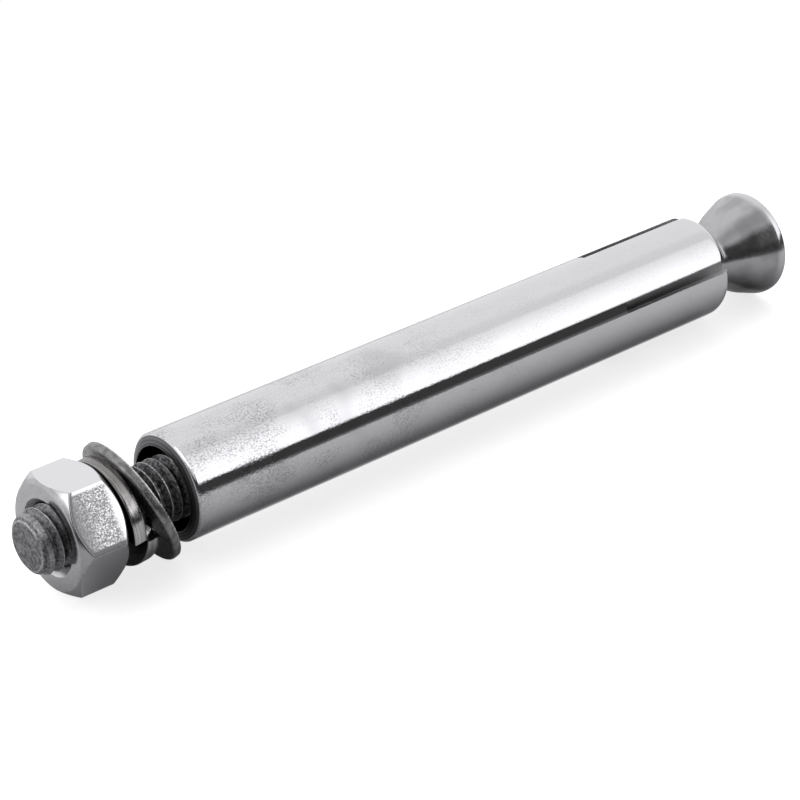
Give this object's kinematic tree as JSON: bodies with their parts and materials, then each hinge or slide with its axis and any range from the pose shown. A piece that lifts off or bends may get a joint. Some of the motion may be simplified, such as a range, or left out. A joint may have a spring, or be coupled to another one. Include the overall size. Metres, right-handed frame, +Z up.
{
  "type": "sleeve anchor bolt",
  "caption": "Expansion anchor bolt: a threaded stud with a flared head in a slotted sleeve, with a hexagon nut, a spring washer and a plain washer at its free end.",
  "frame": {"origin": "on the ground below the middle of the bolt's length", "axes": "+X along the bolt from its threaded tip to its flared head, +Z up; the bolt's own axis dips 0.38 degrees towards the head because the leaning washer is wider than the head"},
  "size_m": [0.0856, 0.0121, 0.0116],
  "materials": {
    "stud_steel": "stainless steel, rolled thread, satin head",
    "sleeve_steel": "stainless tube, bright, with fine marks along it",
    "washer_steel": "punched stainless steel, satin",
    "spring_steel": "rolled stainless wire, bright",
    "nut_steel": "cold-formed stainless steel, speckled satin"
  },
  "bodies": {
    "stud": {"stud": "stud_steel"},
    "sleeve": {"sleeve": "sleeve_steel"},
    "plain_washer": {"plain_washer": "washer_steel"},
    "spring_washer": {"spring_washer": "spring_steel"},
    "nut": {"nut": "nut_steel"}
  },
  "joints": [
    {"name": "nut_advance", "type": "slide", "parent": "stud", "child": "spring_washer", "axis": [1, 0, -0.0066], "range_m": [-0.007, 0]},
    {"name": "nut_turn", "type": "hinge", "parent": "spring_washer", "child": "nut", "pos_m": [-0.03823, 0, 0.00568], "axis": [1, 0, -0.0066], "range_deg": [-2520, 0]},
    {"name": "washer_slide", "type": "slide", "parent": "stud", "child": "plain_washer", "axis": [1, 0, -0.0066], "range_m": [0, 0.0006]},
    {"name": "sleeve_slide", "type": "slide", "parent": "stud", "child": "sleeve", "axis": [1, 0, -0.0066], "range_m": [-0.0006, 0.0034]}
  ],
  "couplings": [
    {"joint": "nut_turn", "follows": "nut_advance", "rad_per_m": 6283.2}
  ]
}
